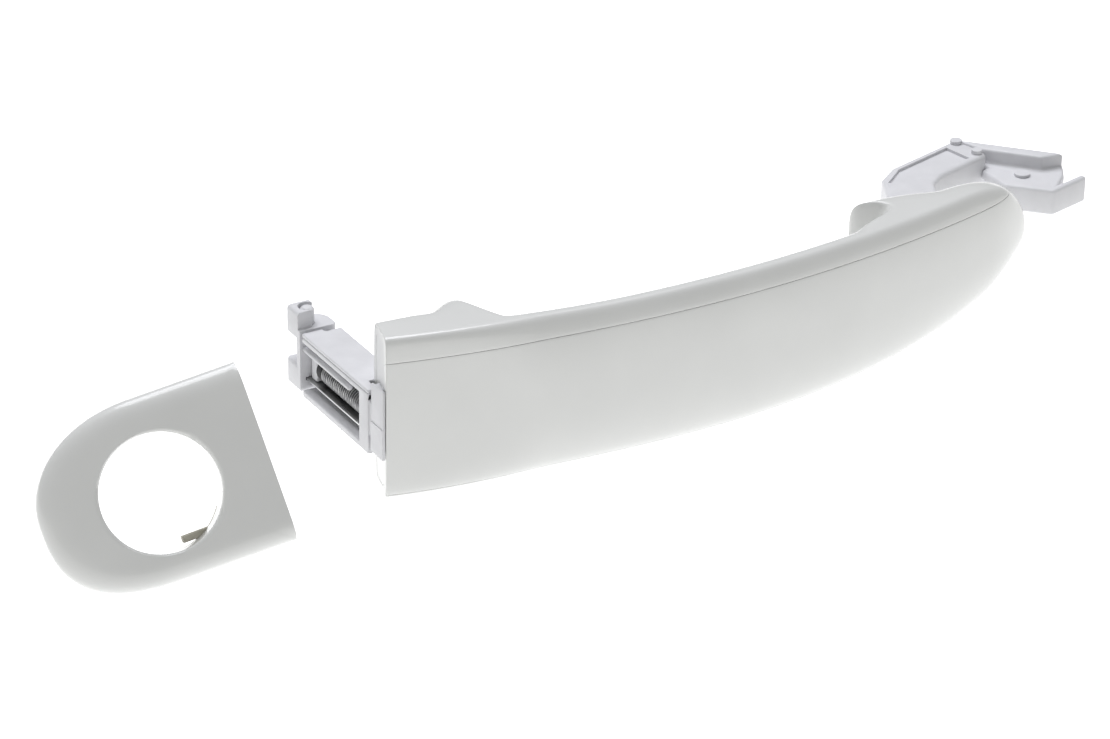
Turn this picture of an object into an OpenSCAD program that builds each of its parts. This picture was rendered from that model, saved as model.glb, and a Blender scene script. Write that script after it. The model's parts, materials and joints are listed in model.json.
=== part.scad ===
// Car door handle set: a strap grip made of two painted shells on an inner core, a rear arm with
// a spring-loaded fork, a front arm with a hook channel that swings on a pin, and the separate
// cover that clips over the lock cylinder.
//
// The parts are laid out in handle coordinates: x runs from the lock end of the grip to its nose,
// y runs into the door with the door's skin at 0, and z is up from the middle of the grip.
// placed() then moves them so that the origin is on the pivot pin, at its shoulder.

/* [Grip] */
// Length of the grip from the lock end to the nose
grip_len = 176; // [150:1:200]
// Height of the grip at the lock end
grip_h = 38.6; // [32:1:42]
// Thickness of the strap between the fingers and the outside
strap_t = 12; // [11:0.5:14]
// Distance that the outer face stands off the door at its deepest
grip_depth = 26.1; // [24:0.1:32]
// Radius of the outer face seen from above
bow_r = 310; // [250:5:500]
// Wall of the two shells
shell_t = 2; // [1.6:0.1:2.6]

/* [Finger gap] */
// Where the finger gap starts, measured from the lock end
gap_start = 24.4; // [24.2:0.2:34]
// Where the finger gap ends at the front foot
gap_end = 128.8; // [118:0.2:134]

/* [Rear arm] */
// Width of the rear arm along the grip
arm_w = 9.2; // [8:0.1:12]
// Height of the rear arm
arm_h = 15.6; // [13:0.2:18]
// How far the arm reaches behind the door's skin
arm_reach = 20.2; // [16:0.2:26]
// Gap between the arm and the fork at rest
fork_gap = 1; // [0.6:0.1:2]
// Outer radius of the return spring
spring_r = 2.8; // [2.4:0.1:3]
// Wire of the return spring
spring_wire = 0.6; // [0.4:0.1:0.8]

/* [Front arm] */
// Height of the oblique link and of the hook channel
link_h = 10.1; // [8:0.1:13]
// Radius of the pivot pin's shank
pin_r = 1.5; // [1.2:0.1:1.8]
// Running clearance of the pin in the channel's floor
pin_clear = 0.05; // [0.03:0.01:0.1]

/* [Lock cover] */
// Radius of the hole for the lock cylinder
lock_r = 12.75; // [11:0.05:14]
// Height of the cover
cap_h = 39.3; // [36:0.1:44]
// From the hole's axis to the rounded end
cap_left = 25.4; // [22:0.1:30]
// From the hole's axis to the flat end
cap_right = 23.4; // [20:0.1:26]
// Depth of the cover at its flat end
cap_depth = 17.8; // [14:0.1:20]
// Wall of the cover
cap_t = 2; // [1.6:0.1:2.6]

/* [Hidden] */
$fn = 64;

// Key heights and places, in handle coordinates
bow_x = 72;          // where the bow is deepest
block_back = -7.1;   // back of the shallow block at the lock end
block_len = 14.6;    // length of that block
foot_x = 23.2;       // where the lock foot reaches the door
scoop_len = 8;       // length of the curve from the lock foot into the finger gap
foot_r = 4;          // radius of the finger gap's corner at the front foot
foot_lean = 6.5;     // how far the gap's wall runs in under the nose
tip_z = 2.5;         // height of the nose's tip
tip_y = -4.4;        // how far the nose's tip stands off the door
seam_z = 13.6;       // height of the seam between the shells
root_x0 = 138.5;     // root of the front arm in the front foot
root_x1 = 154.5;
link_screw_x = [141, 151];
flange_screw_z = [-3, 4];
shell_screw_at = [[12.2, block_back, 3], [161, -0.1, 4]];   // x, face, z
head_seat = 1.15;    // how far the screw heads are let in
plane_cut = 0.15;    // the feet are trimmed flat this far in front of the door
arm_x0 = -0.9;
arm_x1 = arm_x0 + arm_w;
arm_top = 4.7;
arm_bot = arm_top - arm_h;
arm_y0 = -11;
cover_t = 0.85;
fork_y0 = arm_reach + fork_gap;
fork_y1 = fork_y0 + 6.8;
post_x = 2.7;
post_y = fork_y1 - 3.4;
link_top = 5.5;
link_bot = link_top - link_h;
floor_top = 2;
floor_t = 2.6;
pivot_x = 192.4;
pivot_y = 19.5;
ring_t = 0.6;
shoulder_z = floor_top - floor_t - 0.8;
spigot_len = 5;
spigot_r = 1.3;
spring_x = 3.9;
spring_z = -3.9;
spring_y0 = -3.2;
spring_y1 = 15.5;
rod_x = 0.4;
rod_z = 0.2;
white = [0.93, 0.93, 0.92];
grey = [0.78, 0.78, 0.81];
steel = [0.62, 0.63, 0.64];
dark = [0.2, 0.2, 0.2];
beige = [0.85, 0.78, 0.66];

module placed() {
    translate([-pivot_x, -pivot_y, -shoulder_z]) children();
}

// ---- grip: outline functions -------------------------------------------------------------

function clamp01(t) = min(1, max(0, t));
function ease(t) = clamp01(t) * clamp01(t) * (3 - 2 * clamp01(t));

// Outer face seen from above: an arc
function front_y(x) = -grip_depth + bow_r - sqrt(bow_r * bow_r - (x - bow_x) * (x - bow_x));

// Back of the strap: block, lock foot, finger gap, front foot
function strap_back(x) = front_y(x) + strap_t;
function corner(t) = 1 - sqrt(1 - clamp01(t) * clamp01(t));
function scoop(t) = 1 - pow(1 - clamp01(t), 2.4);
function back_y(x) =
    x < block_len ? block_back :
    x < foot_x ? block_back * (1 - ease((x - block_len) / (foot_x - block_len))) :
    x < gap_start ? 0 :
    x < gap_start + scoop_len ? strap_back(x) * scoop((x - gap_start) / scoop_len) :
    x < gap_end ? strap_back(x) * (1 - corner((x - gap_end + foot_r) / foot_r)) : 0;

// Top and bottom edges seen from the front: flat, then closing on the nose
function nose(x, start, p, q) =
    pow(1 - pow(clamp01((x - start) / (grip_len - start)), p), 1 / q);
function top_z(x) = tip_z + (grip_h / 2 - 1.2 * ease(x / 60) - tip_z) * nose(x, 151, 2.8, 1.55);
function bottom_z(x) = tip_z - (grip_h / 2 - 0.5 * ease(x / 60) + tip_z) * nose(x, 60, 2.8, 2.1);

// Depth closes on the nose too, round a point just in front of the door
function close(x) = nose(x, grip_len - 16, 2.4, 2);
function yf(x) = tip_y + (front_y(x) - tip_y) * close(x);
function yb(x) = tip_y + (back_y(x) - tip_y) * close(x);

// The cavity stays a wall's thickness away from the back on every side
function cavity_back(x, t) = min(yb(x - t), yb(x), yb(x + t)) - t;

// Squareness of the section, in front of its ridge and behind it
function front_power(x) = 9 - 6.4 * ease(x / 40);
function back_power(x) =
    9 - 4 * ease((x - 10) / 12) - 3 * ease((x - 24.6) / 5)
    + 4 * ease((x - 120.5) / 7) - 3.2 * ease((x - 130) / 22);
function lift(v, n) = sign(v) * pow(abs(v), 2 / n);

// The lock end is cut a little aslant, so its back corner is further along
function end_slant(x) = x < 12 ? 0.25 * (1 - x / 12) : 0;

// The gap's wall on the front foot leans in under the nose between the door and the strap
function foot_shift(x, y) = foot_lean * ease((x - gap_end + 14) / 10)
    * (1 - ease((x - gap_end - 2) / 24)) * ease(-y / 8) * (1 - ease((-y - 9) / 7));

// Point of the section at angle a, shrunk inwards by the wall t
function section(x, a, t) =
    let (y0 = yf(x) + t, y1 = t > 0 ? cavity_back(x, t) : yb(x))
    let (ridge = y0 + (y1 - y0) * min(0.5, 3.8 / (y1 - y0 + 2 * t)))
    let (half_y = cos(a) > 0 ? max(0.1, y1 - ridge) : max(0.1, ridge - y0))
    let (n = cos(a) > 0 ? back_power(x) : front_power(x))
    let (half_z = max(0.3, (top_z(x) - bottom_z(x)) / 2 - t), mid_z = (top_z(x) + bottom_z(x)) / 2)
    let (y = ridge + half_y * lift(cos(a), n))
    [x + end_slant(x) * (y - front_y(0)) + foot_shift(x, y), y, mid_z + half_z * lift(sin(a), n)];

// The upper seam keeps its height until it meets the nose's outline, the lower one runs under the strap
function seam_share(x) = min(0.97, 2 * (seam_z - (top_z(x) + bottom_z(x)) / 2) / (top_z(x) - bottom_z(x)));
function seam_angle(x, share) = asin(pow(share, front_power(x) / 2));
function seam_top(x) = 180 - seam_angle(x, seam_share(x));
function seam_bottom(x) = 180 + seam_angle(x, 0.95);

function spread(a, b, n) = [for (i = [1:n]) a + (b - a) * i / n];
stations = concat([0, 4, 8, 12, block_len], spread(block_len, foot_x, 5), spread(foot_x, gap_start, 2),
    spread(gap_start, gap_start + scoop_len, 8), spread(gap_start + scoop_len, gap_end - foot_r, 9),
    [for (s = [0.2, 0.45, 0.65, 0.8, 0.9, 0.96, 0.99, 1.01]) gap_end + foot_r * (s - 1)],
    spread(gap_end + 0.5, 166, 8), [168.5, 170.5, 172.3, 173.8, 174.9, 175.6]);

// A skin along the stations, from seam to seam, with wall t; its long edges are closed
module skin(front, steps, t) {
    n = steps + 1;
    ring = 2 * n;
    count = len(stations);
    gap = 0.3;
    function at(x, f) = front
        ? seam_top(x) + gap + (seam_bottom(x) - seam_top(x) - 2 * gap) * f
        : seam_top(x) + (seam_bottom(x) - 360 - seam_top(x)) * f;
    pts = [for (x = stations)
        each concat(
            [for (i = [0:steps]) section(x, at(x, i / steps), 0)],
            [for (i = [steps:-1:0]) section(x, at(x, i / steps), t)])];
    sides = [for (s = [0:count - 2])
        for (i = [0:ring - 1])
            let (p = s * ring + i, q = s * ring + (i + 1) % ring)
            each [[p, q, q + ring], [p, q + ring, p + ring]]];
    base = (count - 1) * ring;
    ends = [for (i = [0:steps - 1])
        let (j = ring - 1 - i)
        each [[i, j, i + 1], [i + 1, j, j - 1],
              [base + i, base + i + 1, base + j], [base + i + 1, base + j - 1, base + j]]];
    faces = concat(sides, ends);
    polyhedron(pts, front ? [for (f = faces) [f[2], f[1], f[0]]] : faces, convexity = 6);
}

module outer_shell() {
    color(white) placed() skin(true, 14, shell_t);
}

// The back shell is flat on its feet, and open for the front arm and the screws
module inner_shell() {
    color(white) placed() difference() {
        skin(false, 30, shell_t);
        translate([100, -plane_cut, -25]) cube([80, 5, 50]);
        translate([root_x0 - 0.1, -4, link_bot - 0.1]) cube([root_x1 - root_x0 + 0.2, 6, link_h + 0.2]);
        for (s = shell_screw_at) translate([s[0], s[1], s[2]]) rotate([90, 0, 0]) {
            translate([0, 0, -2]) cylinder(r = 2, h = 2 + head_seat);
            cylinder(r = 1.1, h = 4);
        }
    }
}

// ---- inside the grip ---------------------------------------------------------------------

// Bent bar between the shells, with a block in the front foot for the arm's screws
module grip_core() {
    bar_x = [for (i = [0:12]) 8 + i * 13];
    bar_bot = -5;
    bar_h = 12;
    color(dark) placed() difference() {
        union() {
            translate([0, 0, bar_bot]) linear_extrude(bar_h) polygon(concat(
                [for (x = bar_x) [x, front_y(x) + 3.8]],
                [for (i = [12:-1:0]) [bar_x[i], front_y(bar_x[i]) + strap_t - 4.4]]));
            translate([4, -15.2, bar_bot]) cube([6, 3.5, bar_h]);
            translate([0, 0, bar_bot]) linear_extrude(bar_h) polygon([[root_x0 - 2, front_y(root_x0) + 4],
                [root_x1, front_y(root_x1) + 4], [root_x1, -3.1], [root_x0 - 2, -3.1]]);
        }
        for (x = link_screw_x) translate([x, -2, 1]) rotate([90, 0, 0]) cylinder(r = 1.25, h = 9);
        for (s = shell_screw_at)
            translate([s[0], s[1], s[2]]) rotate([90, 0, 0]) cylinder(r = 1.05, h = 12);
        for (z = flange_screw_z) translate([0, -13.6, z]) rotate([0, 90, 0]) cylinder(r = 1.05, h = 9);
    }
}

// Thin wall that closes the lock end between the two shells
module end_plate() {
    color(white) placed() difference() {
        translate([2.4, front_y(0) + 2.5, 3 - grip_h / 2])
            cube([1.4, block_back - front_y(0) - 4.9, grip_h - 6]);
        for (z = flange_screw_z) translate([0, -13.6, z]) rotate([0, 90, 0]) cylinder(r = 1.05, h = 9);
    }
}

// Screws that pull the back shell onto the core from the door side
module shell_screws() {
    color(steel) placed() for (s = shell_screw_at)
        translate([s[0], s[1] - head_seat + 0.8, s[2]]) rotate([90, 0, 0]) {
            cylinder(r = 1.9, h = 0.8);
            translate([0, 0, 0.7]) cylinder(r = 1, h = 7);
        }
}

// ---- rear arm ----------------------------------------------------------------------------

// Stepped foot of the arm that comes out of the grip's end
module arm_flange() {
    color(grey) placed() difference() {
        union() {
            translate([-0.8, -17.4, -9.6]) cube([0.75, 5.5, 7.3]);
            translate([-0.6, -17.4, -2.3]) cube([0.55, 5.5, 9.2]);
            translate([-0.1, -15.4, -8.6]) cube([2.4, 3.5, 15]);
        }
        for (z = flange_screw_z) translate([0.3, -13.6, z]) rotate([0, 90, 0]) cylinder(r = 1.05, h = 5);
    }
}

module flange_screws() {
    color(steel) placed() for (z = flange_screw_z)
        translate([0.4, -13.6, z]) rotate([0, 90, 0]) cylinder(r = 1, h = 7.6);
}

// Box frame with a window in its side; the spring and the strap lie in the window
module rear_arm() {
    back_wall = 1.3;
    top_bar = 1.4;
    bottom_bar = 1.7;
    frame_h = arm_h - cover_t;
    window_h = frame_h - top_bar - bottom_bar;
    window_z = arm_bot + bottom_bar;
    window_w = arm_w - back_wall;
    color(grey) placed() difference() {
        union() {
            translate([0, 0, arm_bot]) linear_extrude(frame_h) arm_plan(arm_reach);
            translate([-0.5, arm_y0 - 0.85, -6]) cube([1.5, 1, 8]);
        }
        translate([arm_x0 - 1, -6.6, window_z]) cube([window_w + 1, 24.2, window_h]);
        translate([arm_x0 - 1, 10, window_z]) cube([3.3, arm_reach, window_h]);
        translate([arm_x0 + 1, 10, window_z]) cube([window_w - 0.7, arm_reach, 2.4]);
        translate([spring_x, 16, spring_z]) rotate([-90, 0, 0]) cylinder(r = 1.2, h = 10);
    }
}

// The arm seen from above: its near corner clears the grip's slanted end
module arm_plan(reach) {
    polygon([[arm_x0, arm_y0], [1.1, arm_y0], [1.5, block_back + 0.15], [arm_x1, block_back + 0.15],
        [arm_x1, reach], [arm_x0, reach]]);
}

// Flat cover on top of the arm
module arm_cover() {
    color(grey) placed() translate([0, 0, arm_top - cover_t]) linear_extrude(cover_t) difference() {
        arm_plan(arm_reach);
        polygon([[4.2, arm_reach - 0.8], [4.8, arm_reach - 1.3], [arm_x1 + 1, arm_reach - 0.9],
            [arm_x1 + 1, arm_reach + 1], [4.2, arm_reach + 1]]);
    }
}

// Two prongs on a web; a block on the upper one's corner wraps round the post
module fork_head() {
    notch_z0 = -4.2;
    notch_z1 = 1.9;
    corner_r = 3.4;
    color(grey) placed() difference() {
        union() {
            translate([0, 0, -10.5]) linear_extrude(10.5 + arm_top) union() {
                translate([arm_x0, fork_y0]) square([arm_w, fork_y1 - fork_y0 - corner_r]);
                translate([arm_x0, fork_y0]) square([arm_w - corner_r, fork_y1 - fork_y0]);
                translate([arm_x1 - corner_r, fork_y1 - corner_r]) circle(r = corner_r);
            }
            translate([arm_x0, post_y - 2.4, arm_top - 0.5]) cube([3.6, fork_y1 - post_y + 2.4, 4.6]);
            translate([arm_x0, post_y, arm_top - 0.5]) cube([5.4, fork_y1 - post_y, 4.6]);
        }
        translate([arm_x0 - 1, fork_y0 + 2.3, notch_z0]) cube([arm_w + 2, 10, notch_z1 - notch_z0]);
        translate([post_x, post_y, arm_top]) cylinder(r = 2.1, h = 6);
        translate([post_x, post_y, arm_top - 2]) cylinder(r = 1.65, h = 3);
        translate([rod_x, fork_y0 - 1, rod_z]) rotate([-90, 0, 0]) cylinder(r = 0.75, h = 2.6);
        translate([arm_x0 + 1.4, fork_y0 - 1, -7.6]) cube([5.6, 2.4, 0.7]);
    }
}

// Round-ended rod that keeps the fork in line with the arm
module guide_rod() {
    color(grey) placed() translate([rod_x, 0, rod_z]) {
        rotate([-90, 0, 0]) cylinder(r = 0.7, h = fork_y0 + 1.5);
        sphere(r = 0.7);
    }
}

// Stub that the lock's lever catches on
module catch_post() {
    color(grey) placed() translate([post_x, post_y, arm_top - 1.9]) {
        cylinder(r = 1.6, h = 5.4);
        translate([0, 0, 5.4]) cylinder(r1 = 1.6, r2 = 1, h = 0.5);
    }
}

// Strap under the spring; its bent tip pushes the spring's near end
module spring_plate() {
    color(steel) placed() {
        translate([arm_x0 + 1.5, spring_y0 - 0.7, -7.5]) cube([5.4, fork_y0 + 1.3 - spring_y0 + 0.7, 0.5]);
        translate([arm_x0 + 2.2, spring_y0 - 0.7, -7.1]) cube([4, 0.6, 5]);
    }
}

// Close-wound coil as a plain sleeve of the coil's outer and inner radius
module return_spring() {
    color(dark) placed() translate([spring_x, spring_y0, spring_z]) rotate([-90, 0, 0]) difference() {
        cylinder(r = spring_r, h = spring_y1 - spring_y0);
        translate([0, 0, -1]) cylinder(r = spring_r - spring_wire, h = spring_y1 - spring_y0 + 2);
    }
}

// Ring that the spring's far end rests on
module spring_seat() {
    color(dark) placed() translate([spring_x, spring_y1 + 0.05, spring_z])
        rotate([-90, 0, 0]) difference() {
        cylinder(r = 2.7, h = 2);
        translate([0, 0, -1]) cylinder(r = 1.2, h = 4);
    }
}

// ---- front arm ---------------------------------------------------------------------------

// The link seen from above
module link_plan() {
    polygon([[142, 0.3], [154.4, 0.3], [154.4, 3.6], [164.2, 14], [167, 19.7], [171, 22.4], [187.4, 27.3],
        [187.9, 30.4], [185.4, 38.4], [162.8, 31.6], [157, 27.4], [154.6, 22.6], [150.4, 14]]);
}

// Oblique link with a shallow pocket in its top
module front_link() {
    color(grey) placed() difference() {
        union() {
            translate([0, 0, link_bot]) linear_extrude(link_h) link_plan();
            translate([root_x0, -2.4, link_bot]) cube([root_x1 - root_x0, 3.2, link_h]);
        }
        translate([0, 0, link_top - 0.7]) linear_extrude(2) polygon([[166.4, 22.6], [182.4, 27.6],
            [181, 35.2], [163.6, 29.9], [157, 24.6]]);
        for (x = link_screw_x) translate([x, 40, 1]) rotate([90, 0, 0]) cylinder(r = 1.3, h = 50);
    }
}

// Open channel that hooks behind the door's pivot
module hook_channel() {
    color(grey) placed() difference() {
        union() {
            translate([0, 0, floor_top - floor_t]) linear_extrude(floor_t)
                polygon([[185.8, 37.8], [185.6, 16.8], [194, 8.4], [201.5, 14.9], [204.2, 19]]);
            translate([0, 0, link_bot]) linear_extrude(link_h)
                polygon([[185.8, 38.5], [188.3, 30.6], [198.1, 19.7], [204.2, 19]]);
            translate([0, 0, link_bot]) linear_extrude(floor_top - link_bot)
                polygon([[185.6, 16.8], [194, 8.4], [205.9, 11.6], [205.4, 13.4],
                    [195, 10.7], [187.2, 18.6]]);
        }
        translate([0, 0, link_bot - 1]) linear_extrude(link_h + 2) link_plan();
        translate([pivot_x, pivot_y, floor_top - 10]) cylinder(r = pin_r + pin_clear, h = 20);
    }
}

// Two round pegs that join the link to the channel
module link_pegs() {
    color(grey) placed() {
        translate([184.6, 36.4, link_top]) cylinder(r = 1.5, h = 0.9);
        translate([185.6, 29.1, link_top]) cylinder(r = 1.3, h = 1);
    }
}

module link_screws() {
    color(steel) placed() for (x = link_screw_x)
        translate([x, 0.9, 1]) rotate([90, 0, 0]) cylinder(r = 1.2, h = 10);
}

// Pin that stands in the door bracket; its lower end is bare
module pivot_pin() {
    color(steel) placed() translate([pivot_x, pivot_y, 0]) {
        translate([0, 0, floor_top + 0.1]) cylinder(r = 1.9, h = 0.6);
        translate([0, 0, shoulder_z]) cylinder(r = pin_r, h = floor_top + 0.2 - shoulder_z);
        translate([0, 0, shoulder_z - spigot_len]) cylinder(r = spigot_r, h = spigot_len + 0.1);
    }
}

// Spring ring that keeps the pin in the floor
module pin_ring() {
    color(steel) placed() translate([pivot_x, pivot_y, shoulder_z + 0.1]) difference() {
        cylinder(r = 2.6, h = ring_t);
        translate([0, 0, -1]) cylinder(r = pin_r, h = 3);
    }
}

// ---- lock cover --------------------------------------------------------------------------

// The cover stands loose beside the grip, leaning back and turned
module at_cap() {
    placed() translate([-52.49, -11.83, -6.21]) rotate([-27, -13, -10]) children();
}

// Outline of the cover seen square on, inset by t: round at the left, cut flat at the right
module cap_outline(t) {
    half = cap_h / 2 - t;
    left = cap_left - t;
    translate([0, 0.85]) polygon(concat(
        [for (i = [0:40]) let (a = 90 + i * 4.5, power = a < 180 ? 2.05 : 2.75)
            [left * lift(cos(a), power), half * lift(sin(a), power)]],
        [[cap_right + t, -half + 0.6], [cap_right + t, half - 0.4]]));
}

// Bowed and crowned slab of the outline, its face at depth d less t
module cap_form(t) {
    face_r = 450;
    slope = 0.12;
    crown_r = 160;
    lean = sqrt(1 + slope * slope);
    intersection() {
        rotate([90, 0, 0]) linear_extrude(cap_depth + 4) cap_outline(t);
        translate([cap_right + slope / lean * face_r, face_r / lean - cap_depth, -40])
            cylinder(r = face_r - t, h = 80, $fn = 720);
        translate([-60, crown_r - cap_depth - 0.4, 0.85]) rotate([0, 90, 0])
            cylinder(r = crown_r - t, h = 120, $fn = 720);
    }
}

module lock_cap() {
    collar_t = 1.6;
    collar_back = -8.7;
    color(white) at_cap() difference() {
        union() {
            difference() {
                cap_form(0);
                translate([0, 0.01, 0]) cap_form(cap_t);
            }
            intersection() {
                cap_form(0.3);
                translate([0, collar_back, 0]) rotate([90, 0, 0]) cylinder(r = lock_r + collar_t, h = 30);
            }
        }
        translate([0, 1, 0]) rotate([90, 0, 0]) cylinder(r = lock_r, h = 40);
    }
}

// Unpainted clip behind the collar that grips the lock cylinder's housing
module cap_clip() {
    clip_back = -5.6;
    clip_t = 2.8;
    color(beige) at_cap() {
        difference() {
            translate([0, clip_back, 0]) rotate([90, 0, 0]) cylinder(r = lock_r + 1.6, h = clip_t);
            translate([0, clip_back + 1, 0]) rotate([90, 0, 0]) cylinder(r = lock_r + 0.2, h = clip_t + 2);
            translate([-20, clip_back - clip_t - 1, -7]) cube([40, clip_t + 2, 25]);
        }
        intersection() {
            translate([0, clip_back, 0]) rotate([90, 0, 0]) cylinder(r = lock_r + 0.8, h = clip_t);
            translate([1.6, clip_back - clip_t, -11.9]) cube([9, clip_t, 1.5]);
        }
    }
}

outer_shell();
inner_shell();
grip_core();
end_plate();
shell_screws();
arm_flange();
flange_screws();
rear_arm();
arm_cover();
fork_head();
guide_rod();
catch_post();
spring_plate();
return_spring();
spring_seat();
front_link();
hook_channel();
link_pegs();
link_screws();
pivot_pin();
pin_ring();
lock_cap();
cap_clip();
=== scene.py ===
# %% [markdown]
# A painted car door handle, rebuilt piece by piece around its CAD frame. The frame holds every node at its
# true size and place. This lesson gives the surfaces their soft edges, coils and finishes, and it never moves
# what the frame holds. Lengths are worked out in millimetres and turned into metres at the end.

# %% Load the frame
import json

import bmesh
import bpy
import numpy as np
from mathutils import Matrix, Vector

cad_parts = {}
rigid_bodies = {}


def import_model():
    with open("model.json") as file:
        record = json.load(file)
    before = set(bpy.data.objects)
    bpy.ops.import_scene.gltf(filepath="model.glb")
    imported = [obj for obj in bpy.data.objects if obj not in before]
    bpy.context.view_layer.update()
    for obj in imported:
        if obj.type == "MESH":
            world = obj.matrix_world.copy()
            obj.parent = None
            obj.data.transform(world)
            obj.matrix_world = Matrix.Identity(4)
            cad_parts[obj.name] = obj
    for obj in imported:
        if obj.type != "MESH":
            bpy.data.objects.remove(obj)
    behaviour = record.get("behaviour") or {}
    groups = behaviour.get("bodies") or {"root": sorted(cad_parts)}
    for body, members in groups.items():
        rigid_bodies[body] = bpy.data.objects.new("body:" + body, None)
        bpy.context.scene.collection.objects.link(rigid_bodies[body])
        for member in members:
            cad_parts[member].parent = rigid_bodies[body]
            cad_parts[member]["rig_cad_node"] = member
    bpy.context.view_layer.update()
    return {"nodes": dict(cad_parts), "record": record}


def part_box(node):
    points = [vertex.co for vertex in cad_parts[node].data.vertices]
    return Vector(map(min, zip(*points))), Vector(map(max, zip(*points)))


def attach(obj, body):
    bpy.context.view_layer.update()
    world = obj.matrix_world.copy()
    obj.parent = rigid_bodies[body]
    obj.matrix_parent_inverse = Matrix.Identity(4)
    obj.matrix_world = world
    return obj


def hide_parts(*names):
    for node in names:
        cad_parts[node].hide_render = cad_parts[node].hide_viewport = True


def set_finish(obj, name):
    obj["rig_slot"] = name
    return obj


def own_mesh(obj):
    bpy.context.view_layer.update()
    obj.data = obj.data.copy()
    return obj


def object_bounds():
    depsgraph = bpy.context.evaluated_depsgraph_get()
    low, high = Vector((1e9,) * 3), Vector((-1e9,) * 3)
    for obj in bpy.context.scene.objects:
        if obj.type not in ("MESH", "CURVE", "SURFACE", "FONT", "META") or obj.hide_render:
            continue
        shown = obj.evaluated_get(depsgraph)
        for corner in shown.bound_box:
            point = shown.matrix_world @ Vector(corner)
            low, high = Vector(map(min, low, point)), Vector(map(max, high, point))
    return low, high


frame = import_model()
record = frame["record"]
body_of_node = {node: body for body, nodes in record["behaviour"]["bodies"].items() for node in nodes}
slot_of_node = {part["node"]: part["material_slot"] for part in record["subparts"]}

# %% [markdown]
# The grip is designed in its own coordinates: x from the lock end to the nose, y into the door with the
# door's skin at 0, z up from the grip's middle. Three numbers place that in the frame. Two come from the
# frame's own boxes, and the third is the height of the grip's middle over the pin's shoulder.

# %% Where the grip's coordinates lie in the frame
MM = 0.001
FLAT_TRIM = 0.15                                   # the feet are cut flat this far in front of the door's skin
mount = {m["name"]: m for m in record["mounts"]}
lock_end_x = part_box("outer_shell")[0][0] / MM
door_y = mount["front_foot_face"]["pos_m"][1] / MM + FLAT_TRIM
MIDDLE_Z = 1.4
origin = np.array([lock_end_x, door_y, MIDDLE_Z])


def place(points):
    """Grip coordinates in mm to the frame's metres."""
    return (np.asarray(points, float) + origin) * MM


print("grip origin in the frame, mm", origin.round(2))

# %% [markdown]
# Most pieces here are grids: rows of points that a formula gives, joined by four-sided faces. One helper
# turns such a grid into a mesh. It closes the grid where it is a ring, and it turns all faces over when the
# volume they enclose comes out negative, so that they point outwards.

# %% From a grid of points to a mesh


def cells(rows, cols, ring=False):
    """Corner numbers of each cell of a rows x cols grid. ring joins the last column to the first."""
    r, c = np.meshgrid(np.arange(rows - 1), np.arange(cols if ring else cols - 1), indexing="ij")
    a, b = r * cols + c, r * cols + (c + 1) % cols
    return np.stack([a, b, b + cols, a + cols], -1).reshape(-1, 4)


def enclosed(points, faces):
    """Signed volume inside: a sixth of the sum of every triangle's triple product."""
    a, b, c, d = (points[faces[:, i]] for i in range(4))
    return (np.einsum("ij,ij", a, np.cross(b, c)) + np.einsum("ij,ij", a, np.cross(c, d))) / 6


def build(name, points, faces, sharp=40, closed=True):
    """A smooth object from points in metres. Edges sharper than the angle sharp, in degrees, stay crisp."""
    points = np.asarray(points, float).reshape(-1, 3)
    if closed and enclosed(points, faces) < 0:
        faces = faces[:, ::-1]
    mesh = bpy.data.meshes.new(name)
    mesh.from_pydata(points.tolist(), [], faces.tolist())
    tidy = bmesh.new()
    tidy.from_mesh(mesh)
    bmesh.ops.remove_doubles(tidy, verts=tidy.verts, dist=1e-7)
    bmesh.ops.dissolve_degenerate(tidy, edges=tidy.edges, dist=1e-8)
    tidy.to_mesh(mesh)
    tidy.free()
    mesh.shade_smooth()
    mesh.set_sharp_from_angle(angle=np.radians(sharp))
    piece = bpy.data.objects.new(name, mesh)
    bpy.context.scene.collection.objects.link(piece)
    print(name, len(mesh.vertices), "vertices", len(mesh.polygons), "faces")
    return piece


def stands_for(piece, *nodes):
    """The piece rides on the nodes' body, takes their finish and is shown instead of them."""
    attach(piece, body_of_node[nodes[0]])
    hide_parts(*nodes)
    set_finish(piece, slot_of_node[nodes[0]])
    return piece


# %% [markdown]
# ## The camera
# A long lens from the lock end, a little above: the pieces keep their proportions, as in a catalogue.

# %% Camera
view = bpy.data.cameras.new("catalogue_view")
view.lens = 142.68
view.sensor_width = 36
view.clip_end = 20
camera = bpy.data.objects.new("catalogue_view", view)
camera.location = (-0.583116, -0.775892, 0.436457)
camera.rotation_euler = np.radians([63.187, -0.803, -29.934])
bpy.context.scene.collection.objects.link(camera)
bpy.context.scene.camera = camera
print("camera at", tuple(round(v, 3) for v in camera.location))

# %% [markdown]
# ## The grip
# The strap is a bowed bar. Seen from above its outer face is an arc and its back follows the lock foot, the
# finger gap and the front foot. Each cross section is a superellipse, split at a ridge near the outer face:
# a large power makes a squarish block at the lock end, and a power near 2 makes the round strap.

# %% Outlines of the grip
GRIP_LEN, GRIP_H, STRAP_T, GRIP_DEPTH, BOW_R, BOW_X = 176, 38.6, 12, 26.1, 310, 72
BLOCK_BACK, BLOCK_LEN, FOOT_X = -7.1, 14.6, 23.2
GAP_START, GAP_END, SCOOP_LEN, FOOT_R, FOOT_LEAN = 24.4, 128.8, 8, 4, 6.5
TIP_Y, TIP_Z, RIDGE, WALL = -4.4, 2.5, 3.8, 2.0
END_SLANT = 0.25                                   # the lock end's back corner lies further along the grip


def clamp01(t):
    return np.clip(t, 0, 1)


def ease(t):
    """3t^2 - 2t^3: from 0 to 1 with level ends."""
    t = clamp01(t)
    return t * t * (3 - 2 * t)


def front_y(x):
    """Arc of radius BOW_R, deepest at BOW_X."""
    return -GRIP_DEPTH + BOW_R - np.sqrt(BOW_R**2 - (x - BOW_X) ** 2)


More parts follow.
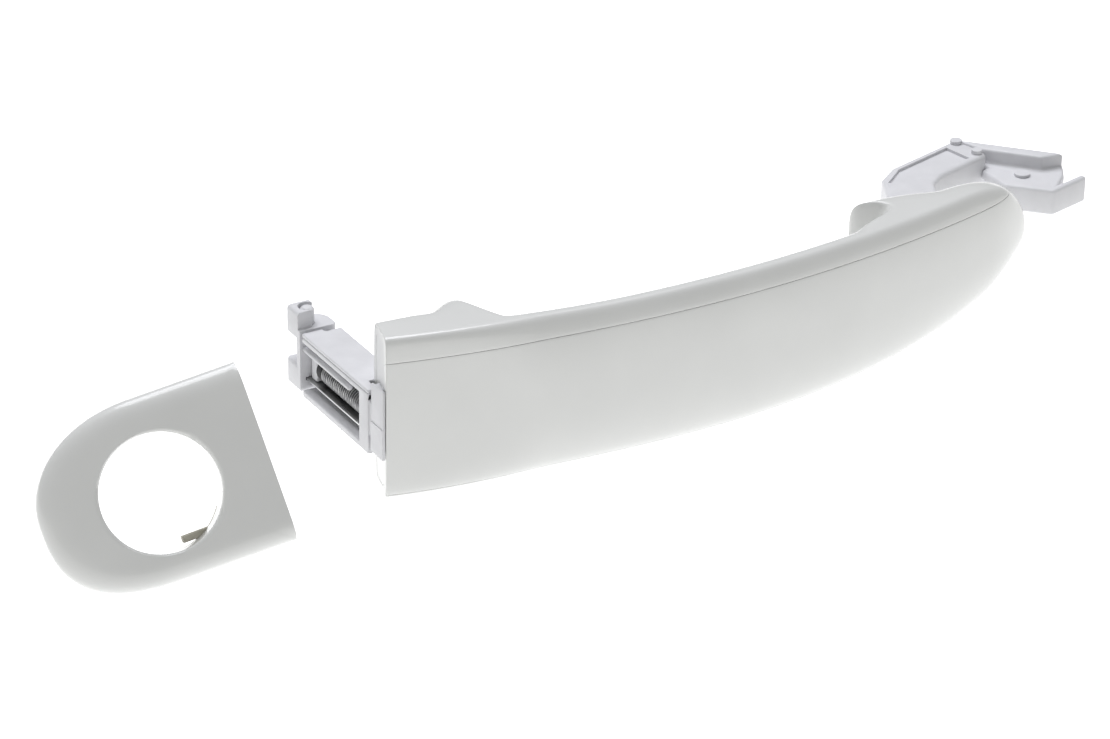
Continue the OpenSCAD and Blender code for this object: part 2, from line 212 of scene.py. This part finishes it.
def back_line(x):
    """Block, rise to the lock foot, scoop into the finger gap, quarter round into the front foot."""
    strap = front_y(x) + STRAP_T
    scoop = 1 - (1 - clamp01((x - GAP_START) / SCOOP_LEN)) ** 2.4
    corner = np.sqrt(1 - clamp01((x - GAP_END + FOOT_R) / FOOT_R) ** 2)
    rise = BLOCK_BACK * (1 - ease((x - BLOCK_LEN) / (FOOT_X - BLOCK_LEN)))
    return np.select([x < FOOT_X, x < GAP_START, x < GAP_START + SCOOP_LEN, x < GAP_END],
                     [rise, 0 * x, strap * scoop, strap * corner], 0 * x)


def back_y(x):
    """Mean of the back line over a short window, which rounds its corners as a mould does."""
    return np.mean([back_line(x + d) for d in np.linspace(-0.45, 0.45, 7)], axis=0)


def nose(x, start, p, q):
    """(1 - t^p)^(1/q), which closes the outline between start and the tip."""
    return (1 - clamp01((x - start) / (GRIP_LEN - start)) ** p) ** (1 / q)


def top_z(x):
    return TIP_Z + (GRIP_H / 2 - 1.2 * ease(x / 60) - TIP_Z) * nose(x, 151, 2.8, 1.55)


def bottom_z(x):
    return TIP_Z - (GRIP_H / 2 - 0.5 * ease(x / 60) + TIP_Z) * nose(x, 60, 2.8, 2.1)


def towards_tip(x, y):
    """Depth closes round the tip, a little in front of the door."""
    return TIP_Y + (y - TIP_Y) * nose(x, GRIP_LEN - 16, 2.4, 2)


def front_power(x):
    return 9 - 6.4 * ease(x / 40)


def back_power(x):
    return (9 - 4 * ease((x - 10) / 12) - 3 * ease((x - 24.6) / 5) + 4 * ease((x - 120.5) / 7)
            - 3.2 * ease((x - 130) / 22))


def lift(v, n):
    """Keeps the sign of v and raises its size to 2/n: the superellipse's own stretching."""
    return np.sign(v) * np.abs(v) ** (2 / n)


def lean(x, y):
    """The finger gap's wall on the front foot leans: between the door and the strap it runs in under the nose.
    The shift fades out along the grip and again towards the strap's front."""
    along = ease((x - GAP_END + 14) / 10) * (1 - ease((x - GAP_END - 2) / 24))
    return FOOT_LEAN * along * ease(-y / 8) * (1 - ease((-y - 9) / 7))


def section(x, a, wall):
    """Point of the cross section at x and angle a, moved inwards by wall. Angles run from the back, over the
    top, to the front: y from the cosine, z from the sine, each lifted."""
    y0 = towards_tip(x, front_y(x)) + wall
    y1 = towards_tip(x, back_y(x))
    if wall:
        y1 = np.min([towards_tip(x + d, back_y(x + d)) for d in (-wall, 0, wall)], axis=0) - wall
    ridge = y0 + (y1 - y0) * np.minimum(0.5, RIDGE / np.maximum(0.1, y1 - y0 + 2 * wall))
    at_back = np.cos(a) > 0
    half_y = np.where(at_back, np.maximum(0.05, y1 - ridge), np.maximum(0.05, ridge - y0))
    power = np.where(at_back, back_power(x), front_power(x))
    half_z = np.maximum(0.15, (top_z(x) - bottom_z(x)) / 2 - wall)
    y = np.minimum(ridge + half_y * lift(np.cos(a), power), -FLAT_TRIM)
    z = (top_z(x) + bottom_z(x)) / 2 + half_z * lift(np.sin(a), power)
    slant = END_SLANT * clamp01(1 - x / 12)
    return np.stack([x + slant * (y - front_y(0)) + lean(x, y), y, z], -1)


# %% [markdown]
# The two shells meet along two seams. The upper one keeps its height until it meets the nose's outline, and
# the lower one runs under the strap. Each is a fine line with rims that turn in by a small radius.

# %% The two shells of the grip
SEAM_GAP, SEAM_R, RIM_R = 0.025, 0.14, 0.35
SEAM_Z, LOW_SHARE = 13.6, 0.95


def seam(x, share):
    """Angle at which the section has reached a share of its half height."""
    return np.degrees(np.arcsin(share ** (front_power(x) / 2)))


def high_share(x):
    """Share of the half height at which the upper seam lies."""
    half = np.maximum(1e-6, (top_z(x) - bottom_z(x)) / 2)
    return np.minimum(0.97, (SEAM_Z - (top_z(x) + bottom_z(x)) / 2) / half)


def fillet(d, r):
    """How far an edge of radius r has dropped at the distance d from its end."""
    return r - np.sqrt(np.maximum(0, r**2 - np.maximum(0, r - np.maximum(d, 0)) ** 2))


def stations():
    """Places along the grip: close together where the outline turns."""
    rim = RIM_R * (1 - np.cos(np.linspace(0, np.pi / 2, 6)))
    scoop = np.linspace(13, GAP_START + SCOOP_LEN + 1, 72)
    strap = np.linspace(scoop[-1], GAP_END - FOOT_R, 60)[1:]
    wall = GAP_END - FOOT_R + FOOT_R * np.sin(np.linspace(0, np.pi / 2, 36)[1:])
    edge = np.linspace(GAP_END, GAP_END + 1, 9)[1:]
    foot = np.linspace(edge[-1], 150, 20)[1:]
    tip = 150 + (GRIP_LEN - 0.02 - 150) * np.sin(np.linspace(0, np.pi / 2, 60)[1:])
    return np.concatenate([rim, np.linspace(rim[-1], 13, 14)[1:-1], scoop, strap, wall, edge, foot, tip])


def shell_points(a0, a1, count):
    """Closed strip around each section: outside from seam to seam, then back along the inside. The outside is
    spaced evenly by length, with extra points at its two rims."""
    x = stations()[:, None]
    share = np.linspace(0, 1, 400)[None, :]
    dense = section(x + 0 * share, np.radians(a0(x) + (a1(x) - a0(x)) * share), 0)
    inner = section(x + 0 * share, np.radians(a0(x) + (a1(x) - a0(x)) * share), WALL)
    run = np.concatenate([0 * x, np.cumsum(np.linalg.norm(np.diff(dense, axis=1), axis=2), axis=1)], axis=1)
    rim = SEAM_R * (1 - np.cos(np.linspace(0, np.pi / 2, 5)))
    strips = []
    for i, length in enumerate(run[:, -1]):
        gap = min(SEAM_GAP, length / 8)
        near = min(1, (length - 2 * gap) / (4 * SEAM_R))
        even = np.linspace(gap + near * SEAM_R, length - gap - near * SEAM_R, count)[1:-1]
        s = np.concatenate([gap + near * rim, even, length - gap - near * rim[::-1]])
        outside = np.stack([np.interp(s, run[i], dense[i, :, k]) for k in range(3)], -1)
        inside = np.stack([np.interp(s, run[i], inner[i, :, k]) for k in range(3)], -1)
        turn_in = np.maximum(fillet(np.minimum(s - gap, length - gap - s), SEAM_R), fillet(x[i, 0], RIM_R))
        depth = inside - outside
        thick = np.maximum(np.linalg.norm(depth, axis=1, keepdims=True), 1e-6)
        drop = np.minimum(turn_in[:, None], thick / 3)
        strips.append(np.concatenate([outside + depth / thick * drop, inside[::-1]]))
    return np.array(strips)


def make_shell(name, a0, a1, count):
    points = shell_points(a0, a1, count)
    rows, ring = points.shape[:2]
    half = ring // 2
    i = np.arange(half - 1)
    start = np.stack([i, i + 1, ring - 2 - i, ring - 1 - i], -1)
    ends = np.concatenate([start[:, ::-1], start + (rows - 1) * ring])
    return build(name, place(points), np.concatenate([cells(rows, ring, ring=True), ends]))


def seam_high(x):
    return 180 - seam(x, high_share(x))


def seam_low(x):
    return 180 + seam(x, LOW_SHARE)


outer = make_shell("outer_shell_skin", seam_high, seam_low, 60)
inner = make_shell("inner_shell_skin", seam_high, lambda x: seam_low(x) - 360, 110)
stands_for(outer, "outer_shell")
stands_for(inner, "inner_shell")

# %% [markdown]
# The back shell is open where the front arm's root passes through it, and it has two stepped seats for the
# screws on the door side. Each cut is kept as the piece's own mesh, so no modifier is left on it.

# %% Openings of the back shell
SCREW_AT = [(12.2, BLOCK_BACK, 3), (161, -FLAT_TRIM, 4)]
SEAT_R, SEAT_DEPTH, SHANK_R = 2.0, 1.15, 1.1
ROOT_X, ROOT_Z = (138.4, 154.6), (-4.7, 5.6)


def cut_away(piece, tool):
    """Takes the solid that the bmesh tool holds away from a piece."""
    mesh = bpy.data.meshes.new("drill")
    tool.to_mesh(mesh)
    tool.free()
    drill = bpy.data.objects.new("drill", mesh)
    bpy.context.scene.collection.objects.link(drill)
    cut = piece.modifiers.new("hole", "BOOLEAN")
    cut.operation, cut.solver, cut.object = "DIFFERENCE", "EXACT", drill
    result = bpy.data.meshes.new_from_object(piece.evaluated_get(bpy.context.evaluated_depsgraph_get()))
    piece.modifiers.clear()
    piece.data = result
    bpy.data.objects.remove(drill)
    result.set_sharp_from_angle(angle=np.radians(40))


def drill_bit(x, y, z, radius, depth):
    """A round bar square to the door, from 1 mm outside the face y down to a depth, in mm."""
    tool = bmesh.new()
    pose = Matrix.Translation(place([x, y + (1 - depth) / 2, z])) @ Matrix.Rotation(np.pi / 2, 4, "X")
    bmesh.ops.create_cone(tool, cap_ends=True, segments=64, radius1=radius * MM, radius2=radius * MM,
                          depth=(1 + depth) * MM, matrix=pose)
    return tool


for x, y, z in SCREW_AT:
    cut_away(inner, drill_bit(x, y, z, SEAT_R, SEAT_DEPTH))
    cut_away(inner, drill_bit(x, y, z, SHANK_R, WALL + 1))
root = bmesh.new()
size = np.array([ROOT_X[1] - ROOT_X[0], 6, ROOT_Z[1] - ROOT_Z[0]]) * MM
bmesh.ops.create_cube(root, size=1, matrix=Matrix.Translation(place([np.mean(ROOT_X), -1, np.mean(ROOT_Z)]))
                      @ Matrix.Diagonal((*size, 1)))
cut_away(inner, root)
print("inner shell with its openings:", len(inner.data.polygons), "faces")

# %% [markdown]
# A plate closes the grip at the lock end. It lies flush in the shells' rim, follows the end's slant, and has a
# slot for the arm's foot. It is a ring of rays from the slot to the shells' inside.

# %% End plate
PLATE_T, SLOT_AT, SLOT_HALF = 1.4, (-13.65, -1.1), (1.8, 7.55)
turn = np.linspace(0, 2 * np.pi, 240, endpoint=False)
rim_points = section(0 * turn, turn, WALL + 0.03)[:, 1:]
from_slot = rim_points - SLOT_AT
reach = np.min(np.array(SLOT_HALF) / np.maximum(np.abs(from_slot), 1e-9), axis=1)
slot_points = SLOT_AT + from_slot * reach[:, None]
loops = np.stack([rim_points, slot_points, slot_points, rim_points], axis=1)
depth = 0.04 + np.array([0, 0, PLATE_T, PLATE_T])
plate_x = depth + END_SLANT * (loops[..., 0] - front_y(0))
plate_points = np.concatenate([plate_x[..., None], loops], axis=-1)
plate_points = np.concatenate([plate_points, plate_points[:1]])
plate = build("end_plate_skin", place(plate_points), cells(len(plate_points), 4, ring=True))
stands_for(plate, "end_plate")

# %% [markdown]
# ## The lock cover
# The cover is a thin crowned cap with a hole, round at one end and cut straight at the other. Its surface is
# worked out as rays from the hole to the outline: a collar inside the hole, the bowed face, a shoulder that
# rolls off, and the side wall. A Solidify modifier gives it its wall.

# %% Cover: outline and face
LOCK_R, CAP_H, CAP_LEFT, CAP_RIGHT, CAP_DEPTH, CAP_MID = 12.75, 39.3, 25.4, 23.4, 17.8, 0.85
COLLAR_BACK, CAP_WALL, SHOULDER, SHOULDER_DROP = -8.7, 1.9, 0.72, 3
CAP_BOW_R, CAP_SLOPE = 450, 0.12
cap_tilt = np.radians([-27, -13, -10])
cap_at = np.array([-52.49, -11.83, -6.21])


def turned(points):
    """Turns points about X, then Y, then Z, by the cover's three angles, and moves them to its place."""
    (cx, cy, cz), (sx, sy, sz) = np.cos(cap_tilt), np.sin(cap_tilt)
    rx = np.array([[1, 0, 0], [0, cx, -sx], [0, sx, cx]])
    ry = np.array([[cy, 0, sy], [0, 1, 0], [-sy, 0, cy]])
    rz = np.array([[cz, -sz, 0], [sz, cz, 0], [0, 0, 1]])
    return points @ (rz @ ry @ rx).T + cap_at


def outline_power(s):
    return np.where(s > 0, 2.05, 2.75)


def outline_ray(a):
    """Distance from the outline's middle to the outline in the direction a: a superellipse at the round end,
    the nearer of the level edge and the flat end at the other."""
    c, s = np.cos(a), np.sin(a)
    p = outline_power(s)
    round_end = ((np.abs(c) / CAP_LEFT) ** p + (np.abs(s) / (CAP_H / 2)) ** p) ** (-1 / p)
    level = (CAP_H / 2) / np.maximum(np.abs(s), 1e-9)
    return np.where(c < 0, round_end, np.minimum(level, CAP_RIGHT / np.maximum(c, 1e-9)))


def nearness(x, z):
    """0 in the middle and 1 on the curved outline, measured with the outline's own formula."""
    up = (z - CAP_MID) / (CAP_H / 2)
    p = outline_power(up)
    return np.where(x < 0, (np.abs(x / CAP_LEFT) ** p + np.abs(up) ** p) ** (1 / p), np.abs(up))


def face_y(x, z):
    """Large arc along the cover, a gentle crown across it, and the shoulder's elliptical roll-off."""
    tilt = np.hypot(1, CAP_SLOPE)
    bow = CAP_BOW_R / tilt - CAP_DEPTH - np.sqrt(
        CAP_BOW_R**2 - (x - CAP_RIGHT - CAP_SLOPE / tilt * CAP_BOW_R) ** 2)
    crown = 0.2 * ((z - CAP_MID) / (CAP_H / 2)) ** 2
    t = clamp01((nearness(x, z) - SHOULDER) / (1 - SHOULDER))
    return bow + crown + SHOULDER_DROP * (1 - np.sqrt(1 - t**2.3))


# %% Cover: the surface
corner_up, corner_down = np.arctan2(CAP_H / 2, CAP_RIGHT), np.arctan2(-CAP_H / 2, CAP_RIGHT)
rays = np.concatenate([np.linspace(corner_down, corner_up, 41),
                       np.linspace(corner_up, corner_down + 2 * np.pi, 221)[1:-1]])
flat_end = np.arange(len(rays)) < 40
a = rays[:, None]
hole = LOCK_R * np.stack([np.cos(a), np.sin(a)], -1)
rim = outline_ray(a)[..., None] * np.stack([np.cos(a), np.sin(a)], -1) + [0, CAP_MID]
t = np.concatenate([np.linspace(0, 0.5, 12), 1 - 0.5 * (1 - np.linspace(0, 1, 34)[1:]) ** 1.7])[None, :, None]
HOLE_R = 0.55
across = hole + (rim - hole) * t
reach = np.linalg.norm(across - hole, axis=-1)
roll = HOLE_R - np.sqrt(np.maximum(0, HOLE_R**2 - np.maximum(0, HOLE_R - reach) ** 2))
face = np.stack([across[..., 0], face_y(across[..., 0], across[..., 1]) + roll, across[..., 1]], -1)


def run_down(start, stop, steps):
    """Rows of points from a ring straight along y to the depth stop."""
    k = np.linspace(0, 1, steps + 1)[None, 1:, None]
    end = start.copy()
    end[..., 1] = stop
    return start + (end - start) * k


collar = run_down(face[:, :1], COLLAR_BACK, 6)[:, ::-1]
side = run_down(face[:, -1:], 0, 8)
cap_points = np.concatenate([collar, face, side], axis=1)
rows, cols = cap_points.shape[:2]
ring_points = np.concatenate([cap_points, cap_points[:1]])
cap_faces = cells(rows + 1, cols)
row_of, col_of = cap_faces[:, 0] // cols, cap_faces[:, 0] % cols
open_end = np.append(flat_end, False)[row_of] & (col_of >= cols - 9)
cap = build("lock_cap_skin", place(turned(ring_points)), cap_faces[~open_end], sharp=50, closed=False)
wall = cap.modifiers.new("wall", "SOLIDIFY")
wall.thickness = CAP_WALL * MM
wall.offset = -1
wall.use_even_offset = True
stands_for(cap, "lock_cap")

# %% [markdown]
# ## The return spring
# A coil is a circle carried along a helix. The CAD keeps a plain sleeve in its place. The coil's far end rests
# on its seat.

# %% Return spring
SPRING_X, SPRING_Z, SPRING_Y0, SPRING_Y1, SPRING_R, WIRE_R, TURNS = 3.9, -3.9, -3.2, 15.5, 2.8, 0.24, 23


def helix(turns, steps):
    """Centre line: a circle of the coil's middle radius while y climbs; the last turn at each end lies flat."""
    t = np.linspace(0, turns, turns * steps + 1)
    r = SPRING_R - WIRE_R
    climb = np.interp(t, [0, 1, turns - 1, turns], [0, 2.2 * WIRE_R, SPRING_Y1 - SPRING_Y0 - 4.2 * WIRE_R,
                                                    SPRING_Y1 - SPRING_Y0 - 2 * WIRE_R])
    a = 2 * np.pi * t
    return np.stack([SPRING_X + r * np.cos(a), SPRING_Y0 + WIRE_R + climb, SPRING_Z + r * np.sin(a)], -1)


def tube(path, radius, sides):
    """Circle of the given radius square to the path at each of its points. Ends are closed by shrinking."""
    along = np.gradient(path, axis=0)
    along /= np.linalg.norm(along, axis=1, keepdims=True)
    u = np.cross(along, [0, 1, 0])
    u /= np.linalg.norm(u, axis=1, keepdims=True)
    v = np.cross(along, u)
    a = np.linspace(0, 2 * np.pi, sides, endpoint=False)[None, :, None]
    rings = path[:, None] + radius * (np.cos(a) * u[:, None] + np.sin(a) * v[:, None])
    first, last = rings[:1] * 0 + path[0], rings[:1] * 0 + path[-1]
    return np.concatenate([first, rings, last])


coil_points = tube(helix(TURNS, 28), WIRE_R, 10)
coil = build("return_spring_coil", place(coil_points), cells(*coil_points.shape[:2], ring=True), sharp=80)
stands_for(coil, "return_spring")
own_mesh(coil)

# %% [markdown]
# ## Soft edges for the cast pieces
# The arms' nodes already have their right shape, but with knife edges. A copy is merged from loose triangles
# and its flat faces are joined. Long edges get a casting's radius, and a small Bevel breaks all the others.

# %% Soft-edged copies
SHARP = np.radians(28)
BEVEL_STEPS = 3


def roomy(edge, width):
    """True for a sharp edge whose neighbours all leave room for a radius of this width."""
    near = [e.calc_length() for v in edge.verts for e in v.link_edges]
    return edge.is_manifold and edge.calc_face_angle() > SHARP and min(near) > 2.1 * width


def softened(node, width, radius):
    """Copy of a node's mesh, merged and joined. Roomy edges are rounded to radius, the rest to width, in mm."""
    mesh = frame["nodes"][node].data.copy()
    mesh.name = node + "_soft"
    work = bmesh.new()
    work.from_mesh(mesh)
    bmesh.ops.remove_doubles(work, verts=work.verts, dist=2e-6)
    bmesh.ops.dissolve_limit(work, angle_limit=np.radians(1), verts=work.verts, edges=work.edges)
    edges = [e for e in work.edges if roomy(e, radius * MM)]
    bmesh.ops.bevel(work, geom=edges, offset=radius * MM, offset_type="OFFSET", segments=4, profile=0.5,
                    affect="EDGES", clamp_overlap=False)
    work.to_mesh(mesh)
    work.free()
    mesh.shade_smooth()
    mesh.set_sharp_from_angle(angle=SHARP)
    piece = bpy.data.objects.new(node + "_soft", mesh)
    bpy.context.scene.collection.objects.link(piece)
    soft = piece.modifiers.new("soft_edges", "BEVEL")
    soft.width = width * MM
    soft.segments = BEVEL_STEPS
    soft.limit_method = "ANGLE"
    soft.angle_limit = SHARP
    soft.harden_normals = True
    print(piece.name, len(mesh.polygons), "faces before the bevel")
    return stands_for(piece, node)


EDGE_MM = {"rear_arm": (0.22, 0.4), "arm_cover": (0.16, 0.3), "fork_head": (0.3, 1.0),
           "arm_flange": (0.14, 0.2), "spring_plate": (0.08, 0.1), "front_link": (0.2, 1.1),
           "hook_channel": (0.2, 0.75), "link_pegs": (0.2, 0.3), "catch_post": (0.4, 0.5),
           "cap_clip": (0.15, 0.2), "spring_seat": (0.15, 0.2)}
for node, (width, radius) in EDGE_MM.items():
    softened(node, width, radius)

# %% [markdown]
# ## Finishes
# Each finish is a small node tree on Object coordinates, so its grain stays on the piece and has a real
# scale. The values that don't vary are set on the shader's own sockets.

# %% Finish helpers


def new_finish(name, roughness, **sockets):
    """A Principled material whose plain sockets are set directly."""
    mat = bpy.data.materials.new(name)
    mat.use_nodes = True
    shader = mat.node_tree.nodes["Principled BSDF"]
    shader.inputs["Roughness"].default_value = roughness
    for socket, value in sockets.items():
        shader.inputs[socket.replace("_", " ")].default_value = value
    return mat, mat.node_tree, shader


def noise(tree, scale, detail=3, stretch=(1, 1, 1)):
    """Noise on Object coordinates: scale is in cycles a metre, stretch squeezes it along an axis."""
    where = tree.nodes.new("ShaderNodeTexCoord")
    turn = tree.nodes.new("ShaderNodeMapping")
    turn.inputs["Scale"].default_value = stretch
    cloud = tree.nodes.new("ShaderNodeTexNoise")
    cloud.inputs["Scale"].default_value = scale
    cloud.inputs["Detail"].default_value = detail
    tree.links.new(where.outputs["Object"], turn.inputs["Vector"])
    tree.links.new(turn.outputs["Vector"], cloud.inputs["Vector"])
    return cloud.outputs["Fac"]


def ramp(tree, value, low, high, dark, light):
    """Maps a value between low and high to a mix of two colours."""
    node = tree.nodes.new("ShaderNodeValToRGB")
    node.color_ramp.elements[0].position = low
    node.color_ramp.elements[1].position = high
    node.color_ramp.elements[0].color = (*dark, 1)
    node.color_ramp.elements[1].color = (*light, 1)
    tree.links.new(value, node.inputs["Fac"])
    return node.outputs["Color"]


def bump(tree, shader, value, strength, depth_mm):
    node = tree.nodes.new("ShaderNodeBump")
    node.inputs["Strength"].default_value = strength
    node.inputs["Distance"].default_value = depth_mm * MM
    tree.links.new(value, node.inputs["Height"])
    tree.links.new(node.outputs["Normal"], shader.inputs["Normal"])


def spread(tree, shader, value, low, high):
    """Roughness that wanders between low and high with the noise."""
    node = tree.nodes.new("ShaderNodeMapRange")
    node.inputs["To Min"].default_value = low
    node.inputs["To Max"].default_value = high
    tree.links.new(value, node.inputs["Value"])
    tree.links.new(node.outputs["Result"], shader.inputs["Roughness"])


# %% The six finishes


def gloss_paint():
    """White top coat: faint clouding in the colour, orange peel under a clear coat."""
    mat, tree, shader = new_finish("gloss_white", 0.3, Coat_Weight=0.6, Coat_Roughness=0.06)
    cloud = ramp(tree, noise(tree, 60, 4), 0.3, 0.7, (0.735, 0.74, 0.73), (0.76, 0.765, 0.755))
    tree.links.new(cloud, shader.inputs["Base Color"])
    bump(tree, shader, noise(tree, 900, 2), 0.12, 0.05)
    return mat


def satin_paint():
    """Thin paint on a casting: fine grain in the surface and a slightly uneven sheen."""
    mat, tree, shader = new_finish("satin_white", 0.45)
    cloud = ramp(tree, noise(tree, 220, 5), 0.3, 0.7, (0.69, 0.69, 0.715), (0.74, 0.74, 0.765))
    tree.links.new(cloud, shader.inputs["Base Color"])
    spread(tree, shader, noise(tree, 500, 3), 0.36, 0.54)
    bump(tree, shader, noise(tree, 2600, 4), 0.25, 0.06)
    return mat


def zinc():
    """Plated steel: bright, drawn along its length."""
    mat, tree, shader = new_finish("zinc_steel", 0.3, Metallic=1.0)
    cloud = ramp(tree, noise(tree, 700, 4, (1, 0.08, 1)), 0.3, 0.7, (0.48, 0.485, 0.49), (0.7, 0.7, 0.7))
    tree.links.new(cloud, shader.inputs["Base Color"])
    spread(tree, shader, noise(tree, 1500, 3, (1, 0.06, 1)), 0.2, 0.42)
    bump(tree, shader, noise(tree, 3000, 3, (1, 0.05, 1)), 0.2, 0.03)
    return mat


def spring_wire():
    """Drawn wire under a film of oil."""
    mat, tree, shader = new_finish("spring_steel", 0.3, Metallic=1.0)
    cloud = ramp(tree, noise(tree, 900, 4), 0.35, 0.7, (0.22, 0.22, 0.23), (0.45, 0.45, 0.45))
    tree.links.new(cloud, shader.inputs["Base Color"])
    spread(tree, shader, noise(tree, 1600, 2), 0.22, 0.45)
    return mat


def black_plastic():
    """Glass-filled plastic: matte, with short fibres just under the surface."""
    mat, tree, shader = new_finish("core_plastic", 0.6)
    cloud = ramp(tree, noise(tree, 1200, 5, (1, 0.3, 1)), 0.4, 0.8, (0.018, 0.018, 0.02), (0.05, 0.05, 0.055))
    tree.links.new(cloud, shader.inputs["Base Color"])
    bump(tree, shader, noise(tree, 1800, 4), 0.3, 0.08)
    return mat


def beige_plastic():
    """Bare moulded plastic: a little uneven in colour, with a fine spark-eroded texture."""
    mat, tree, shader = new_finish("bare_plastic", 0.5)
    cloud = ramp(tree, noise(tree, 180, 4), 0.3, 0.7, (0.60, 0.57, 0.48), (0.69, 0.66, 0.56))
    tree.links.new(cloud, shader.inputs["Base Color"])
    bump(tree, shader, noise(tree, 2200, 3), 0.3, 0.06)
    return mat


finish = {"gloss_white": gloss_paint(), "satin_white": satin_paint(), "zinc_steel": zinc(),
          "spring_steel": spring_wire(), "core_plastic": black_plastic(), "bare_plastic": beige_plastic()}
for node, obj in frame["nodes"].items():
    obj.data.materials.clear()
    obj.data.materials.append(finish[slot_of_node[node]])
for piece in [o for o in bpy.data.objects if o.type == "MESH" and "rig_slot" in o and "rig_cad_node" not in o]:
    piece.data.materials.clear()
    piece.data.materials.append(finish[piece["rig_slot"]])
print("finishes", sorted(finish))

# %% [markdown]
# ## Floor and light
# A plain pale floor well below the pieces, one broad soft light overhead and behind, and a dim room: tops
# are bright, the faces towards the viewer are a shade darker, and the floor throws light back from below.

# %% Floor and light
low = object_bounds()[0][2]
FLOOR_DROP, FLOOR_HALF = 0.22, 6.0
corners = np.array([[-1, -1, 0], [1, -1, 0], [1, 1, 0], [-1, 1, 0]]) * FLOOR_HALF + [0, 0, low - FLOOR_DROP]
floor = build("floor", corners, np.array([[0, 1, 2, 3]]), closed=False)
floor_mat, floor_tree, floor_shader = new_finish("floor_white", 0.9)
floor_shader.inputs["Base Color"].default_value = (0.93, 0.93, 0.925, 1)
floor_shader.inputs["Emission Color"].default_value = (1, 1, 0.985, 1)
floor_shader.inputs["Emission Strength"].default_value = 0.76
floor.data.materials.append(floor_mat)


def soft_light(name, at, towards, size, watts, colour):
    lamp = bpy.data.lights.new(name, "AREA")
    lamp.shape = "DISK"
    lamp.size = size
    lamp.energy = watts
    lamp.color = colour
    obj = bpy.data.objects.new(name, lamp)
    obj.location = at
    aim = np.array(towards, float) - np.array(at, float)
    obj.rotation_euler = (np.arctan2(np.hypot(aim[0], aim[1]), -aim[2]), 0, np.arctan2(aim[0], -aim[1]) + np.pi)
    bpy.context.scene.collection.objects.link(obj)
    print(name, watts, "W")
    return obj


middle = (-0.12, -0.02, 0)
soft_light("overhead", (-0.1, 0.5, 1.5), middle, 1.4, 24, (0.96, 0.965, 1.0))
room = bpy.data.worlds.new("room")
room.use_nodes = True
room.node_tree.nodes["Background"].inputs["Color"].default_value = (0.99, 1, 0.98, 1)
room.node_tree.nodes["Background"].inputs["Strength"].default_value = 0.27
bpy.context.scene.world = room
bpy.context.scene.view_settings.view_transform = "Standard"
